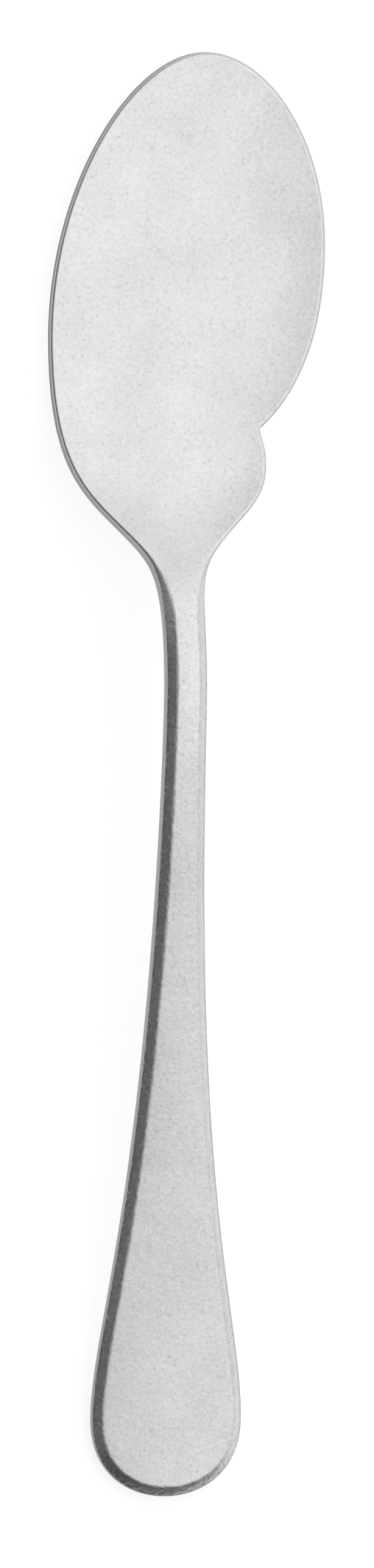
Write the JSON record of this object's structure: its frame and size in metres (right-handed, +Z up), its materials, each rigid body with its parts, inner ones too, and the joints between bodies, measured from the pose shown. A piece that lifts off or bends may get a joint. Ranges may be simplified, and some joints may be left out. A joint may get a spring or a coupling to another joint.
{
  "type": "sauce spoon",
  "caption": "One-piece stainless steel sauce spoon with a shallow leaning bowl, a drip notch on its edge, an arched neck and a flat bevelled handle.",
  "frame": {"origin": "on the handle's middle line, on the small flat under the bowl that the spoon rests on", "axes": "+Y along the spoon towards the tip of the bowl, +Z up out of the bowl, +X to the side that has the drip notch"},
  "size_m": [0.0365, 0.1851, 0.0133],
  "materials": {
    "steel": "stonewashed satin"
  },
  "bodies": {
    "root": {"spoon": "steel"}
  },
  "joints": []
}
